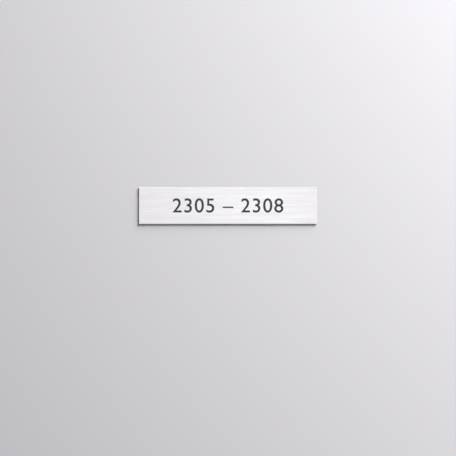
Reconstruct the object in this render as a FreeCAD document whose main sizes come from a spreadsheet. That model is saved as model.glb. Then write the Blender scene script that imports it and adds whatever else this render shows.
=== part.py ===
"""Name plate: one piece of aluminium sheet with a bevelled face, bonded in place by its flat back.

The plate stands upright, as it is fixed: its face looks along -Y, +X runs along it to the viewer's
right and +Z is up. The origin is the centre of the back face. Lengths are in millimetres.
"""
import FreeCAD, Part
import os
import Sketcher

# Driving dimensions: the name of each size, its value, and what it measures.
DRIVING_SIZES = (
    ("plate_width", 120.0, "along X, over the cut edges"),
    ("plate_height", 25.0, "along Z, over the cut edges"),
    ("plate_thickness", 1.5, "along Y, the sheet that the plate is cut from"),
    ("bevel_width", 0.8, "the bevel round the face, measured along the face"),
    ("bevel_depth", 0.45, "along Y, how far the bevel falls from the face to the cut edge"),
    ("corner_radius", 0.3, "rounding of the cut edge at each corner"),
    ("back_edge_break", 0.1, "each leg of the chamfer that takes the burr off the back"),
)


def add_size_sheet(doc):
    """The sheet of driving dimensions: one row each, with the value's cell named by its alias."""
    sheet = doc.addObject("Spreadsheet::Sheet", "Sizes")
    for row, (name, value, meaning) in enumerate(DRIVING_SIZES, start=1):
        sheet.set(f"A{row}", name)
        sheet.set(f"B{row}", str(value))
        sheet.setAlias(f"B{row}", name)
        sheet.set(f"C{row}", meaning)
    doc.recompute()


def origin_plane(body, role):
    """One of the body's own origin planes, by its role."""
    return next(plane for plane in body.Origin.OriginFeatures if plane.Role == role)


def draw_outline(body):
    """The plate's outline on its back plane: a rectangle centred on the origin."""
    sketch = body.newObject("Sketcher::SketchObject", "outline")
    sketch.AttachmentSupport = [(origin_plane(body, "XZ_Plane"), "")]
    sketch.MapMode = "FlatFace"
    # The sides are drawn as a square of half-side 1: the constraints give them their true size.
    corners = [FreeCAD.Vector(x, z, 0) for x, z in ((-1, -1), (1, -1), (1, 1), (-1, 1))]
    bottom, right, top, left = [
        sketch.addGeometry(Part.LineSegment(corners[side], corners[(side + 1) % 4])) for side in range(4)
    ]
    start, end = 1, 2
    sketch_origin = -1
    for side, following in ((bottom, right), (right, top), (top, left), (left, bottom)):
        sketch.addConstraint(Sketcher.Constraint("Coincident", side, end, following, start))
    for side in (bottom, top):
        sketch.addConstraint(Sketcher.Constraint("Horizontal", side))
    for side in (right, left):
        sketch.addConstraint(Sketcher.Constraint("Vertical", side))
    centred = Sketcher.Constraint("Symmetric", bottom, start, top, start, sketch_origin, start)
    sketch.addConstraint(centred)
    width = sketch.addConstraint(Sketcher.Constraint("DistanceX", bottom, start, bottom, end, 2.0))
    height = sketch.addConstraint(Sketcher.Constraint("DistanceY", right, start, right, end, 2.0))
    sketch.setExpression(f"Constraints[{width}]", "Sizes.plate_width")
    sketch.setExpression(f"Constraints[{height}]", "Sizes.plate_height")
    return sketch


def front_face(shape):
    """The face that is read, the furthest along -Y."""
    return min(shape.Faces, key=lambda face: face.CenterOfMass.y)


def back_face(shape):
    """The face that is bonded, the furthest along +Y."""
    return max(shape.Faces, key=lambda face: face.CenterOfMass.y)


def is_among(item, others):
    """Whether an edge or a vertex is one of some others of the same shape."""
    return any(item.isSame(other) for other in others)


def rim_edges(shape, face):
    """Names of the edges round one face, as a feature refers to them."""
    return [f"Edge{number}" for number, edge in enumerate(shape.Edges, start=1) if is_among(edge, face.Edges)]


def corner_edges(shape, face):
    """Names of the edges that leave one face at its corners."""
    names = []
    for number, edge in enumerate(shape.Edges, start=1):
        meets_corner = any(is_among(vertex, face.Vertexes) for vertex in edge.Vertexes)
        if meets_corner and not is_among(edge, face.Edges):
            names.append(f"Edge{number}")
    return names


def dress(body, kind, name, base, edges, sizes, **settings):
    """A fillet or chamfer on some edges of the feature before it, with its sizes from the sheet."""
    feature = body.newObject(kind, name)
    feature.Base = (base, edges)
    for setting, value in settings.items():
        setattr(feature, setting, value)
    for size_property, size in sizes.items():
        feature.setExpression(size_property, size)
    body.Document.recompute()
    return feature


def make_plate(doc):
    """The sheet blank, the bevel round its face, its rounded corners and the broken edge at its back."""
    body = doc.addObject("PartDesign::Body", "name_plate")
    body.Label = "name_plate"

    blank = body.newObject("PartDesign::Pad", "sheet_blank")
    blank.Profile = draw_outline(body)
    blank.setExpression("Length", "Sizes.plate_thickness")
    doc.recompute()

    # The bevel meets in a mitre at each corner, and the cut edge behind it is rounded. Its first size runs
    # down the sides of the blank, its second along the face.
    face_rim = rim_edges(blank.Shape, front_face(blank.Shape))
    bevel_sizes = {"Size": "Sizes.bevel_depth", "Size2": "Sizes.bevel_width"}
    bevelled = dress(
        body, "PartDesign::Chamfer", "face_bevel", blank, face_rim, bevel_sizes, ChamferType="Two distances"
    )
    corners = corner_edges(bevelled.Shape, back_face(bevelled.Shape))
    corner_size = {"Radius": "Sizes.corner_radius"}
    rounded = dress(body, "PartDesign::Fillet", "rounded_corners", bevelled, corners, corner_size)
    back_rim = rim_edges(rounded.Shape, back_face(rounded.Shape))
    back_size = {"Size": "Sizes.back_edge_break"}
    dress(body, "PartDesign::Chamfer", "broken_back_edge", rounded, back_rim, back_size)
    return body


def check(doc, parts):
    """Stops before anything is written if a feature failed or a part is not one sound solid."""
    for item in doc.Objects:
        if "Invalid" in item.State or "Error" in item.State:
            raise RuntimeError(f"{item.Label} failed: {item.State}")
    for part in parts:
        if part.Shape.isNull() or not part.Shape.isValid() or len(part.Shape.Solids) != 1:
            raise RuntimeError(f"{part.Label} is not one sound solid")


def main():
    doc = FreeCAD.newDocument("mailbox_name_plate")
    add_size_sheet(doc)
    parts = [make_plate(doc)]
    check(doc, parts)
    os.makedirs("parts", exist_ok=True)
    for part in parts:
        part.Shape.exportStep(f"parts/{part.Label}.step")


main()
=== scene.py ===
import math
from typing import NamedTuple

import bpy
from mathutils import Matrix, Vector


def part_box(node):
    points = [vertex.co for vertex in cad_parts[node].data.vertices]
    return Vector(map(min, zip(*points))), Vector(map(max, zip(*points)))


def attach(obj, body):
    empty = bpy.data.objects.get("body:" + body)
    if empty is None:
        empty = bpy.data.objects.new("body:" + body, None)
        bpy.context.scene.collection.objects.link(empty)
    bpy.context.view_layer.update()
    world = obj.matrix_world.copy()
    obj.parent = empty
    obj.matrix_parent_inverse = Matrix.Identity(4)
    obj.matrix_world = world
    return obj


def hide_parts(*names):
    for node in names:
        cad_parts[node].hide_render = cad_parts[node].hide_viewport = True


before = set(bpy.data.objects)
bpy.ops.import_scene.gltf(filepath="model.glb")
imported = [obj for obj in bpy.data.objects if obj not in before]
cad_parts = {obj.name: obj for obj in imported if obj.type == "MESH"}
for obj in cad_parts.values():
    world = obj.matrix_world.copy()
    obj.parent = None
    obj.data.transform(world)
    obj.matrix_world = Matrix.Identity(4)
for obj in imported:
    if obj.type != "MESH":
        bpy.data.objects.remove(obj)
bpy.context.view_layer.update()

# The plate as it is sold: a sheet of aluminium with a brushed face and a bright bevel cut round it, and a
# number engraved into the face and filled with dark paint. Lengths are in metres, as in the frame.
MM = 0.001

# Engraving and paint. The spacing is a multiple of the font's own, and the stroke gain, which makes every
# stroke heavier on each side, is a share of the font's size.
NUMBER = "2305 – 2308"
DIGIT_HEIGHT = 9.7 * MM
DIGIT_SPACING = 1.10
STROKE_GAIN = 0.008
ENGRAVING_DEPTH = 0.30 * MM
PAINT_BELOW_FACE = 0.10 * MM
CUTTER_CLEARANCE = 0.3 * MM

# Every edge is cut back by this much on either side, and every mitre is rounded to this radius.
EDGE_FACET = 0.04 * MM

# Steps in the arc of a corner, and in each curve of a digit's outline.
CORNER_STEPS = 8
CURVE_STEPS = 10

# Points closer together than this are the same point.
SAME_POINT = 0.001 * MM

# A surface is flat where its normal lies this much along Y, and a bevel where it leans this far forward.
FLAT_NORMAL = 0.98
BEVEL_NORMAL = 0.3

# The reach of the noise in a finish, and of the part of it that shows as a scratch, from faint to full.
NOISE_RANGE = (0.3, 0.7)
SCRATCH_RANGE = (0.60, 0.72)

# Roughness in the darkest and the lightest streaks of a grain, as multiples of the finish's own.
DARK_STREAK_ROUGHNESS = 1.15
LIGHT_STREAK_ROUGHNESS = 0.87

# Depth of the relief in a grain and in the paint, and how far the metal's sheen is turned, in whole turns.
GRAIN_RELIEF = 0.01 * MM
PAINT_RELIEF = 0.02 * MM
SHEEN_TURN = 0.25

# The backdrop behind the plate reaches just past the camera's frame.
BACKDROP_SIZE = 0.40
BACKDROP_TONE = (0.733, 0.720, 0.753, 1.0)

# The surround: its tint, its level at the sides, what it gains to the right and overhead, and its limit.
SURROUND_TINT = (0.985, 0.98, 1.0, 1.0)
SURROUND_LEVEL = 0.961
GAIN_RIGHT = 0.045
GAIN_OVERHEAD = 0.075
WHITE = 1.0

# What the metal mirrors loses this much towards a grey card at the lower left, and towards the back.
CARD_WAY = (-0.5, -0.5, -0.7)
CARD_SHARPNESS = 4.0
CARD_LOSS = 0.38
BACK_LOSS = 0.25

# The level of the light that reaches into shadows.
AMBIENT = 0.16

# Where the plate stands in the photograph, in pixels of its 456 by 456 frame. The lens is in millimetres.
FRAME_PIXELS = 456.0
PLATE_LEFT_PIXEL = 139.0
PLATE_RIGHT_PIXEL = 317.0
PLATE_MIDDLE_ROW = 205.5
CAMERA_LENS = 100.0


class Bench:
    """A node tree being laid out. Each input is fed by a socket, by a node's first output or by a value."""

    def __init__(self, tree):
        self.tree = tree

    def feed(self, socket, value):
        if isinstance(value, bpy.types.Node):
            value = value.outputs[0]
        if isinstance(value, bpy.types.NodeSocket):
            self.tree.links.new(value, socket)
        else:
            socket.default_value = value

    def fill(self, node, feeds):
        for socket, value in feeds.items():
            self.feed(node.inputs[socket], value)

    def add(self, kind, feeds=None, **settings):
        node = self.tree.nodes.new(kind)
        for setting, value in settings.items():
            setattr(node, setting, value)
        self.fill(node, feeds or {})
        return node

    def calc(self, operation, *values):
        return self.add("ShaderNodeMath", dict(enumerate(values)), operation=operation)

    def vector(self, x, y, z):
        return self.add("ShaderNodeCombineXYZ", {"X": x, "Y": y, "Z": z})

    def split(self, vector):
        return self.add("ShaderNodeSeparateXYZ", {0: vector}).outputs

    def count_off(self, number, group):
        """Which group a whole number falls in when they are counted off, and its place in that group.

        The half keeps a quotient that is just short of a whole number from being rounded down.
        """
        which = self.calc("FLOOR", self.calc("DIVIDE", self.calc("ADD", number, 0.5), float(group)))
        place = self.calc("SUBTRACT", number, self.calc("MULTIPLY", which, float(group)))
        return which, place

    def own_coordinates(self):
        """Coordinates on the piece that a finish is put on."""
        return self.add("ShaderNodeTexCoord").outputs["Object"]

    def span(self, value, reach, results):
        """A number that runs from one result to the other as the value crosses its reach, and no further."""
        feeds = {
            "Value": value,
            "From Min": reach[0],
            "From Max": reach[1],
            "To Min": results[0],
            "To Max": results[1],
        }
        return self.add("ShaderNodeMapRange", feeds).outputs["Result"]

    def ramp(self, value, reach, colours):
        """A colour that runs from one to the other as the value crosses its reach."""
        node = self.add("ShaderNodeValToRGB", {"Fac": value})
        for stop, place, colour in zip(node.color_ramp.elements, reach, colours):
            stop.position = place
            stop.color = (*colour, 1.0)
        return node.outputs["Color"]

    def bump(self, height, strength, relief):
        return self.add("ShaderNodeBump", {"Height": height, "Strength": strength, "Distance": relief})


def start_tree(name, inputs):
    """A new geometry tree with its named inputs. Returns its bench and the sockets of those inputs."""
    tree = bpy.data.node_groups.new(name, "GeometryNodeTree")
    for label, kind in inputs:
        tree.interface.new_socket(label, in_out="INPUT", socket_type=kind)
    tree.interface.new_socket("Geometry", in_out="OUTPUT", socket_type="NodeSocketGeometry")
    bench = Bench(tree)
    return bench, bench.add("NodeGroupInput").outputs


def end_tree(bench, geometry):
    bench.add("NodeGroupOutput", {"Geometry": geometry})
    return bench.tree


SIZE = "NodeSocketFloat"
FINISH = "NodeSocketMaterial"

PLATE_INPUTS = (
    ("Width", SIZE),
    ("Height", SIZE),
    ("Thickness", SIZE),
    ("Bevel width", SIZE),
    ("Bevel depth", SIZE),
    ("Corner radius", SIZE),
    ("Back break", SIZE),
    ("Edge facet", SIZE),
)
NUMBER_INPUTS = (
    ("Number", "NodeSocketString"),
    ("Digit height", SIZE),
    ("Digit spacing", SIZE),
    ("Stroke gain", SIZE),
    ("Floor", SIZE),
    ("Top", SIZE),
)
FINISH_INPUTS = (
    ("Face finish", FINISH),
    ("Long bevel finish", FINISH),
    ("Short bevel finish", FINISH),
    ("Cut edge finish", FINISH),
    ("Back finish", FINISH),
)


def plate_rings(bench, size):
    """The rings round the plate, from the rim of its face, over bevel and cut edge, to the rim of its back.

    Each ring is given by how far it is set in from the plate's outline and set back from its face, and by
    how fast its corners lose their rounding as it is set in.
    """
    calc, facet = bench.calc, size["Edge facet"]
    width, depth = size["Bevel width"], size["Bevel depth"]
    thickness, back_break = size["Thickness"], size["Back break"]
    # A facet on the bevel takes its share of the bevel's width and depth. The back is broken at 45 degrees.
    slope = calc("SQRT", calc("ADD", calc("MULTIPLY", width, width), calc("MULTIPLY", depth, depth)))
    share = calc("DIVIDE", facet, slope)
    inward = calc("MULTIPLY", share, width)
    down = calc("MULTIPLY", share, depth)
    slant = calc("MULTIPLY", facet, math.sqrt(0.5))
    back_start = calc("SUBTRACT", thickness, back_break)
    # Along the bevel, this is where the rounding of the cut edge gives way to the mitre.
    mitre_start = calc("MULTIPLY", size["Corner radius"], 1.0 - math.sqrt(0.5))
    mitre_rise = calc("MULTIPLY", mitre_start, calc("DIVIDE", depth, width))
    # The rounding goes fast on the mitred bevel, and evenly at the back.
    mitred = math.sqrt(2.0) / (math.sqrt(2.0) - 1.0)
    even = 1.0
    return (
        (calc("ADD", width, facet), 0.0, mitred),
        (calc("SUBTRACT", width, inward), down, mitred),
        (mitre_start, calc("SUBTRACT", depth, mitre_rise), mitred),
        (inward, calc("SUBTRACT", depth, down), mitred),
        (0.0, calc("ADD", depth, facet), mitred),
        (0.0, calc("SUBTRACT", back_start, facet), even),
        (slant, calc("ADD", back_start, slant), even),
        (calc("SUBTRACT", back_break, slant), calc("SUBTRACT", thickness, slant), even),
        (calc("ADD", back_break, facet), thickness, even),
    )


def plate_tree():
    """A sheet with a bevelled face, rounded corners and a broken back edge, its back face at Y = 0.

    A closed tube has as many rings of points as the plate, and each point is moved to its place on the plate.
    """
    bench, size = start_tree("bevelled_plate", PLATE_INPUTS)
    calc = bench.calc
    rings = plate_rings(bench, size)
    corner_points = CORNER_STEPS + 1
    ring_points = 4 * corner_points
    tube = bench.add(
        "GeometryNodeMeshCylinder",
        {"Vertices": ring_points, "Side Segments": len(rings) - 1, "Radius": 1.0, "Depth": 1.0},
        fill_type="NGON",
    )
    ring, place = bench.count_off(bench.add("GeometryNodeInputIndex"), ring_points)

    profile = bench.add("GeometryNodeIndexSwitch", {"Index": ring}, data_type="VECTOR")
    while len(profile.index_switch_items) < len(rings):
        profile.index_switch_items.new()
    for number, ring_values in enumerate(rings):
        bench.feed(profile.inputs[number + 1], bench.vector(*ring_values))
    inset, setback, loss = bench.split(profile)

    # The corners count from the upper right one, against the clock as the face is seen.
    corner, step = bench.count_off(place, corner_points)
    turn = calc("MULTIPLY", calc("ADD", corner, calc("DIVIDE", step, float(CORNER_STEPS))), math.pi / 2)
    corner_way = calc("MULTIPLY", calc("ADD", corner, 0.5), math.pi / 2)
    rounding = calc("SUBTRACT", size["Corner radius"], calc("MULTIPLY", inset, loss))
    rounding = calc("MAXIMUM", rounding, size["Edge facet"])

    def coordinate(extent, wave):
        """Along one side: half the ring's extent less its rounding, out to the corner, plus the arc there."""
        half = calc("SUBTRACT", calc("MULTIPLY", extent, 0.5), calc("ADD", inset, rounding))
        arc = calc("MULTIPLY", rounding, calc(wave, turn))
        return calc("ADD", calc("MULTIPLY", calc("SIGN", calc(wave, corner_way)), half), arc)

    on_plate = bench.vector(
        coordinate(size["Width"], "COSINE"),
        calc("SUBTRACT", setback, size["Thickness"]),
        coordinate(size["Height"], "SINE"),
    )
    shaped = bench.add("GeometryNodeSetPosition", {"Geometry": tube.outputs["Mesh"], "Position": on_plate})
    return end_tree(bench, shaped)


def drawn_number(bench, size):
    """The number drawn flat at the font's own size, its strokes made heavier by the gain and filled."""
    text = bench.add(
        "GeometryNodeStringToCurves",
        {"String": size["Number"], "Size": 1.0, "Character Spacing": size["Digit spacing"]},
        align_x="CENTER",
        font=bpy.data.fonts.load("<builtin>"),
    )
    outlines = bench.add("GeometryNodeRealizeInstances", {0: text.outputs["Curve Instances"]})
    outlines = bench.add("GeometryNodeSetSplineResolution", {"Geometry": outlines, "Resolution": CURVE_STEPS})
    outlines = bench.add("GeometryNodeResampleCurve", {"Curve": outlines}, mode="EVALUATED")
    # The outlines run with the stroke on one hand, so a shift to the other makes every stroke heavier.
    outward = bench.add(
        "ShaderNodeVectorMath",
        {0: bench.add("GeometryNodeInputTangent"), 1: bench.vector(0.0, 0.0, size["Stroke gain"])},
        operation="CROSS_PRODUCT",
    )
    outlines = bench.add("GeometryNodeSetPosition", {"Geometry": outlines, "Offset": outward})
    return bench.add("GeometryNodeFillCurve", {"Curve": outlines}, mode="NGONS")


def number_tree():
    """The strokes of a number as upright solids, from the floor of the engraving up to a top along -Y."""
    bench, size = start_tree("number_strokes", NUMBER_INPUTS)
    calc = bench.calc
    drawing = drawn_number(bench, size)
    reach = bench.add("GeometryNodeBoundBox", {"Geometry": drawing})
    lowest = bench.split(reach.outputs["Min"])
    highest = bench.split(reach.outputs["Max"])
    scale = calc("DIVIDE", size["Digit height"], calc("SUBTRACT", highest["Y"], lowest["Y"]))
    drawn = bench.split(bench.add("GeometryNodeInputPosition"))

    def coordinate(axis):
        """The text is brought to its size, with the middle of its box in the middle of the face."""
        middle = calc("MULTIPLY", calc("ADD", lowest[axis], highest[axis]), 0.5)
        return calc("MULTIPLY", calc("SUBTRACT", drawn[axis], middle), scale)

    on_floor = bench.vector(coordinate("X"), size["Floor"], coordinate("Y"))
    upright = bench.add("GeometryNodeSetPosition", {"Geometry": drawing, "Position": on_floor})
    height = calc("SUBTRACT", size["Top"], size["Floor"])
    raised = bench.add(
        "GeometryNodeExtrudeMesh",
        {"Mesh": upright, "Offset": bench.vector(0.0, height, 0.0), "Individual": False},
        mode="FACES",
    )
    underside = bench.add("GeometryNodeFlipFaces", {"Mesh": upright})
    both = bench.add("GeometryNodeJoinGeometry", {"Geometry": raised.outputs["Mesh"]})
    bench.feed(both.inputs["Geometry"], underside)
    closed = bench.add("GeometryNodeMergeByDistance", {"Geometry": both, "Distance": SAME_POINT})
    return end_tree(bench, closed)


def run_group(bench, tree, sockets):
    """A node that runs another tree, each of its inputs fed by the socket of the same name."""
    group = bench.add("GeometryNodeGroup", node_tree=tree)
    for socket in group.inputs:
        bench.feed(socket, sockets[socket.name])
    return group


def engraved_plate_tree(plate, number):
    """The plate with the number cut into its face, and a finish on each of its surfaces."""
    bench, size = start_tree("engraved_plate", PLATE_INPUTS + NUMBER_INPUTS + FINISH_INPUTS)
    calc = bench.calc
    cut = bench.add("GeometryNodeMeshBoolean", operation="DIFFERENCE", solver="EXACT")
    bench.feed(cut.inputs["Mesh 1"], run_group(bench, plate, size))
    bench.feed(cut.inputs["Mesh 2"], run_group(bench, number, size))
    piece = bench.add("GeometryNodeTriangulate", {"Mesh": cut.outputs["Mesh"]}, ngon_method="BEAUTY")
    piece = bench.add("GeometryNodeRealizeInstances", {0: piece})
    # Each finish is put over those before it.
    way = bench.split(bench.add("GeometryNodeInputNormal"))
    leaning = calc("LESS_THAN", way["Y"], -BEVEL_NORMAL)
    sideways = calc("GREATER_THAN", calc("ABSOLUTE", way["X"]), calc("ABSOLUTE", way["Z"]))
    where = {
        "Cut edge finish": True,
        "Long bevel finish": leaning,
        "Short bevel finish": calc("MULTIPLY", leaning, sideways),
        "Face finish": calc("LESS_THAN", way["Y"], -FLAT_NORMAL),
        "Back finish": calc("GREATER_THAN", way["Y"], FLAT_NORMAL),
    }
    for label, selection in where.items():
        feeds = {"Geometry": piece, "Selection": selection, "Material": size[label]}
        piece = bench.add("GeometryNodeSetMaterial", feeds)
    return end_tree(bench, piece)


def paint_tree(number):
    """The paint that fills the engraving, shaped by the same strokes."""
    bench, size = start_tree("engraving_paint", NUMBER_INPUTS + (("Paint finish", FINISH),))
    strokes = run_group(bench, number, size)
    piece = bench.add("GeometryNodeTriangulate", {"Mesh": strokes}, ngon_method="BEAUTY")
    piece = bench.add("GeometryNodeRealizeInstances", {0: piece})
    piece = bench.add("GeometryNodeSetMaterial", {"Geometry": piece, "Material": size["Paint finish"]})
    return end_tree(bench, piece)


def make_piece(name, tree, values):
    """Runs a tree with its inputs set, and keeps what it makes as a plain mesh."""
    piece = bpy.data.objects.new(name, bpy.data.meshes.new(name))
    bpy.context.scene.collection.objects.link(piece)
    maker = piece.modifiers.new("maker", "NODES")
    maker.node_group = tree
    for socket in tree.interface.items_tree:
        if socket.in_out == "INPUT":
            maker[socket.identifier] = values[socket.name]
    made = piece.evaluated_get(bpy.context.evaluated_depsgraph_get())
    mesh = bpy.data.meshes.new_from_object(made)
    piece.modifiers.remove(maker)
    piece.data = mesh
    mesh.name = name
    return piece


def start_finish(name):
    """A new material. Returns it with its bench and its shader."""
    material = bpy.data.materials.new(name)
    material.use_nodes = True
    return material, Bench(material.node_tree), material.node_tree.nodes["Principled BSDF"]


class Streaks(NamedTuple):
    """Streaks in a grain: about how wide and long they are, and their weight in it."""

    width: float
    length: float
    weight: float


def streak_noise(bench, coordinates, along, streaks):
    """Noise drawn out along one axis into streaks, 0.5 in the mean."""
    stretch = [1.0 / streaks.width] * 3
    stretch["XYZ".index(along)] = 1.0 / streaks.length
    mapped = bench.add("ShaderNodeMapping", {"Vector": coordinates, "Scale": stretch})
    return bench.add("ShaderNodeTexNoise", {"Vector": mapped, "Scale": 1.0, "Detail": 2.0}).outputs[0]


def worked_metal(name, along, tone, contrast, roughness, relief, layers, scratches, anisotropy=0.0):
    """Aluminium with a grain along one axis, in its tone, its polish and its relief.

    The grain is made up of layers of streaks, whose weights add up to one. Scratches are sparse streaks that
    stand out of it, darker by their weight.
    """
    material, bench, shader = start_finish(name)
    coordinates = bench.own_coordinates()
    grain = 0.0
    for streaks in layers:
        noise = streak_noise(bench, coordinates, along, streaks)
        grain = bench.calc("MULTIPLY_ADD", noise, streaks.weight, grain)
    noise = streak_noise(bench, coordinates, along, scratches)
    scored = bench.span(noise, SCRATCH_RANGE, (0.0, 1.0))
    grain = bench.calc("MULTIPLY_ADD", scored, -scratches.weight, grain)

    dark = [channel * (1.0 - contrast) for channel in tone]
    light = [min(channel * (1.0 + contrast), 1.0) for channel in tone]
    polish = (roughness * DARK_STREAK_ROUGHNESS, roughness * LIGHT_STREAK_ROUGHNESS)
    feeds = {
        "Base Color": bench.ramp(grain, NOISE_RANGE, (dark, light)),
        "Roughness": bench.span(grain, NOISE_RANGE, polish),
        "Normal": bench.bump(grain, strength=relief, relief=GRAIN_RELIEF),
        "Metallic": 1.0,
        "Anisotropic": anisotropy,
        "Anisotropic Rotation": SHEEN_TURN,
    }
    bench.fill(shader, feeds)
    return material


def brushed_face():
    """The face, brushed along the plate."""
    return worked_metal(
        "brushed_face",
        along="X",
        tone=(0.898, 0.886, 0.902),
        contrast=0.10,
        roughness=0.36,
        relief=0.25,
        layers=(
            Streaks(width=0.11 * MM, length=11 * MM, weight=0.32),
            Streaks(width=0.40 * MM, length=24 * MM, weight=0.40),
            Streaks(width=1.8 * MM, length=70 * MM, weight=0.28),
        ),
        scratches=Streaks(width=0.13 * MM, length=17 * MM, weight=0.30),
        anisotropy=0.8,
    )


def bright_bevel(name, along, roughness):
    """A bevel cut bright, with the cutter's fine lines along it."""
    return worked_metal(
        name,
        along=along,
        tone=(0.965, 0.965, 0.970),
        contrast=0.02,
        roughness=roughness,
        relief=0.05,
        layers=(
            Streaks(width=0.06 * MM, length=12 * MM, weight=0.6),
            Streaks(width=0.25 * MM, length=60 * MM, weight=0.4),
        ),
        scratches=Streaks(width=0.08 * MM, length=14 * MM, weight=0.20),
    )


def cut_edge_painted_shade():
    """The edge that the saw leaves, with its marks across the thickness, its colour darkened as painted
    shade.
    """
    return worked_metal(
        "cut_edge_painted_shade",
        along="Y",
        # Painted shade: this tone is well below the sheet's own, so that the edge looks as dim as a rough
        # edge in shade.
        tone=(0.44, 0.44, 0.45),
        contrast=0.06,
        roughness=0.60,
        relief=0.08,
        layers=(
            Streaks(width=0.4 * MM, length=2 * MM, weight=0.4),
            Streaks(width=1.6 * MM, length=4 * MM, weight=0.6),
        ),
        scratches=Streaks(width=0.08 * MM, length=14 * MM, weight=0.20),
    )


def mill_back():
    """The back, as the sheet comes from the rolling mill."""
    return worked_metal(
        "mill_back",
        along="X",
        tone=(0.80, 0.80, 0.81),
        contrast=0.10,
        roughness=0.42,
        relief=0.15,
        layers=(
            Streaks(width=0.3 * MM, length=30 * MM, weight=0.3),
            Streaks(width=1.1 * MM, length=110 * MM, weight=0.3),
            Streaks(width=9 * MM, length=26 * MM, weight=0.4),
        ),
        scratches=Streaks(width=0.12 * MM, length=18 * MM, weight=0.35),
        anisotropy=0.5,
    )


def plate_finishes():
    """The finish of each surface of the plate, by the name of its input in the plate's tree."""
    return {
        "Face finish": brushed_face(),
        "Long bevel finish": bright_bevel("long_bevel", along="X", roughness=0.32),
        "Short bevel finish": bright_bevel("short_bevel", along="Z", roughness=0.24),
        "Cut edge finish": cut_edge_painted_shade(),
        "Back finish": mill_back(),
    }


def number_paint():
    """Dark grey enamel, brushed into the engraving: a little uneven in tone, gloss and level."""
    thick_paint = (0.0355, 0.0345, 0.0365)
    thin_paint = (0.051, 0.050, 0.052)
    cover_range = (0.35, 0.65)
    gloss_range = (0.50, 0.66)
    clouds_per_metre = 420.0
    specks_per_metre = 5200.0
    speck_share = 0.3
    material, bench, shader = start_finish("number_paint")
    place = bench.own_coordinates()
    clouds = bench.add("ShaderNodeTexNoise", {"Vector": place, "Scale": clouds_per_metre, "Detail": 3.0})
    specks = bench.add("ShaderNodeTexNoise", {"Vector": place, "Scale": specks_per_metre, "Detail": 2.0})
    cover = bench.calc("MULTIPLY", specks, speck_share)
    cover = bench.calc("MULTIPLY_ADD", clouds, 1.0 - speck_share, cover)
    feeds = {
        "Base Color": bench.ramp(cover, cover_range, (thick_paint, thin_paint)),
        "Roughness": bench.span(specks, NOISE_RANGE, gloss_range),
        "Normal": bench.bump(specks, strength=0.25, relief=PAINT_RELIEF),
        "Specular IOR Level": 0.35,
    }
    bench.fill(shader, feeds)
    return material


def read_plate_sizes():
    """The plate's sizes, read off the box and the corners of its solid in the frame."""
    low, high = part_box("name_plate")
    corners = [vertex.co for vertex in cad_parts["name_plate"].data.vertices]
    face_reach = max(corner.x for corner in corners if corner.y < low.y + SAME_POINT)
    back_reach = max(corner.x for corner in corners if corner.y > high.y - SAME_POINT)
    right_edge = [corner for corner in corners if corner.x > high.x - SAME_POINT]
    return {
        "Width": high.x - low.x,
        "Height": high.z - low.z,
        "Thickness": high.y - low.y,
        "Bevel width": high.x - face_reach,
        "Bevel depth": min(corner.y for corner in right_edge) - low.y,
        "Back break": high.x - back_reach,
        "Corner radius": high.z - max(corner.z for corner in right_edge),
        "Edge facet": EDGE_FACET,
    }


def number_values(face, top):
    """The inputs of the number's tree, for strokes from the floor of the engraving up to a top."""
    return {
        "Number": NUMBER,
        "Digit height": DIGIT_HEIGHT,
        "Digit spacing": DIGIT_SPACING,
        "Stroke gain": STROKE_GAIN,
        "Floor": face + ENGRAVING_DEPTH,
        "Top": top,
    }


def backdrop_paint():
    """Pale matt paint that is clear from behind."""
    material, bench, shader = start_finish("backdrop_paint")
    bench.fill(shader, {"Base Color": BACKDROP_TONE, "Roughness": 0.9, "Specular IOR Level": 0.0})
    behind = bench.add("ShaderNodeNewGeometry").outputs["Backfacing"]
    clear = bench.add("ShaderNodeBsdfTransparent")
    seen = bench.add("ShaderNodeMixShader", {0: behind, 1: shader.outputs["BSDF"], 2: clear})
    bench.fill(material.node_tree.nodes["Material Output"], {"Surface": seen})
    return material


def make_backdrop(sizes):
    """A pale backdrop behind the plate, open behind it and seen only from the front.

    The opening ends under the broken back edge, just clear of the flat back. A straight cut across each of
    its corners follows the rounding there.
    """
    half = BACKDROP_SIZE / 2
    inner_x = sizes["Width"] / 2 - sizes["Back break"]
    inner_z = sizes["Height"] / 2 - sizes["Back break"]
    corner_cut = (sizes["Corner radius"] - sizes["Back break"]) * (2.0 - math.sqrt(2.0))
    outer = []
    inner = []
    for x, z in ((-1, -1), (1, -1), (1, 1), (-1, 1)):
        outer.append((x * half, z * half))
        along_z = (x * inner_x, z * (inner_z - corner_cut))
        along_x = (x * (inner_x - corner_cut), z * inner_z)
        inner += (along_z, along_x) if x == z else (along_x, along_z)
    points = [(x, 0.0, z) for x, z in outer + inner]
    first_inner = len(outer)
    faces = []
    for corner in range(4):
        following = (corner + 1) % 4
        arriving = first_inner + 2 * corner
        leaving = arriving + 1
        faces.append((corner, leaving, arriving))
        faces.append((corner, following, first_inner + 2 * following, leaving))
    mesh = bpy.data.meshes.new("backdrop")
    mesh.from_pydata(points, [], faces)
    mesh.materials.append(backdrop_paint())
    backdrop = bpy.data.objects.new("backdrop", mesh)
    bpy.context.scene.collection.objects.link(backdrop)


def add_softbox(name, place, aim, size, power):
    """A rectangular lamp at a place, turned towards its aim."""
    light = bpy.data.lights.new(name, "AREA")
    light.shape = "RECTANGLE"
    light.size, light.size_y = size
    light.energy = power
    lamp = bpy.data.objects.new(name, light)
    lamp.location = place
    lamp.rotation_euler = (Vector(aim) - Vector(place)).to_track_quat("-Z", "Y").to_euler()
    bpy.context.scene.collection.objects.link(lamp)
    return lamp


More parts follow.
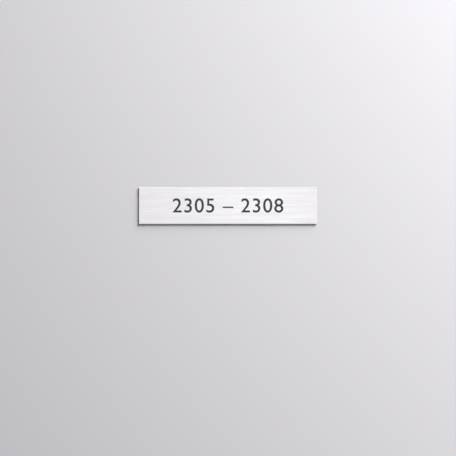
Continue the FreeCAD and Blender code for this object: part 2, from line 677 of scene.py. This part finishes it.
def place_lamps():
    """A large softbox above on the right, a weak strip near the camera, and a softbox for the back."""
    plate = (0.0, 0.0, 0.0)
    right_of_plate = (0.92, -0.046, -0.018)
    key = add_softbox(
        "key_softbox", place=(0.92, -0.644, 1.05), aim=right_of_plate, size=(0.92, 1.01), power=56.0
    )
    # The metal mirrors the surround and the strip, but not the large softbox.
    key.visible_glossy = False
    add_softbox("sheen_strip", place=(0.042, -0.87, 0.0), aim=plate, size=(0.20, 0.5), power=0.14)
    add_softbox("back_softbox", place=(-0.5, 0.5, 0.5), aim=plate, size=(0.6, 0.6), power=1.2)


def make_surround():
    """Pale all round, brighter towards the right and white overhead.

    What the metal mirrors is dimmer at the lower left and behind, as with a grey card there. All that isn't
    mirrored is the ambient light, and the metal throws no more of the surround than that on the backdrop.
    """
    world = bpy.data.worlds.new("surround")
    world.use_nodes = True
    bpy.context.scene.world = world
    bench = Bench(world.node_tree)
    calc = bench.calc
    way = bench.add("ShaderNodeTexCoord").outputs["Generated"]

    def towards(direction):
        dot = bench.add("ShaderNodeVectorMath", {0: way, 1: direction}, operation="DOT_PRODUCT")
        return dot.outputs["Value"]

    side = calc("ADD", towards((GAIN_RIGHT, 0.0, 0.0)), SURROUND_LEVEL)
    overhead = calc("MAXIMUM", towards((0.0, 0.0, GAIN_OVERHEAD)), 0.0)
    pale = calc("MINIMUM", calc("ADD", side, overhead), WHITE)
    card = calc("POWER", calc("MAXIMUM", towards(CARD_WAY), 0.0), CARD_SHARPNESS)
    behind = calc("MAXIMUM", towards((0.0, 1.0, 0.0)), 0.0)
    mirrored = calc("MULTIPLY_ADD", card, -CARD_LOSS, pale)
    mirrored = calc("MULTIPLY_ADD", behind, -BACK_LOSS, mirrored)

    ray = bench.add("ShaderNodeLightPath").outputs
    # A mirrored ray that comes by way of a matt surface counts as ambient light.
    straight = calc("LESS_THAN", ray["Diffuse Depth"], 0.5)
    mirroring = calc("MULTIPLY", ray["Is Glossy Ray"], straight)
    strength = AMBIENT
    for seen, level in ((ray["Is Camera Ray"], pale), (mirroring, mirrored)):
        strength = calc("MULTIPLY_ADD", seen, calc("SUBTRACT", level, AMBIENT), strength)
    bench.fill(world.node_tree.nodes["Background"], {"Color": SURROUND_TINT, "Strength": strength})


def place_camera(plate_width, face):
    """Square to the plate, at the distance and height that put it where the photograph has it."""
    pixels_per_metre = (PLATE_RIGHT_PIXEL - PLATE_LEFT_PIXEL) / plate_width
    frame_width = FRAME_PIXELS / pixels_per_metre
    data = bpy.data.cameras.new("camera")
    data.lens = CAMERA_LENS
    camera = bpy.data.objects.new("camera", data)
    right = (FRAME_PIXELS - PLATE_LEFT_PIXEL - PLATE_RIGHT_PIXEL) / 2.0 / pixels_per_metre
    up = (PLATE_MIDDLE_ROW - FRAME_PIXELS / 2.0) / pixels_per_metre
    camera.location = (right, face - frame_width * data.lens / data.sensor_width, up)
    camera.rotation_euler = (math.pi / 2, 0.0, 0.0)
    bpy.context.scene.collection.objects.link(camera)
    bpy.context.scene.camera = camera


def dress_plate(sizes, face):
    """The engraved plate in place of its solid, and the paint in its engraving."""
    plate = plate_tree()
    number = number_tree()
    values = {**sizes, **number_values(face, face - CUTTER_CLEARANCE), **plate_finishes()}
    dressed = make_piece("engraved_plate", engraved_plate_tree(plate, number), values)
    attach(dressed, "root")
    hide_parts("name_plate")

    values = {**number_values(face, face + PAINT_BELOW_FACE), "Paint finish": number_paint()}
    paint = make_piece("number_paint", paint_tree(number), values)
    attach(paint, "root")


def main():
    bpy.context.scene.view_settings.view_transform = "Standard"
    sizes = read_plate_sizes()
    face = -sizes["Thickness"]
    dress_plate(sizes, face)
    make_backdrop(sizes)
    place_lamps()
    make_surround()
    place_camera(sizes["Width"], face)


main()
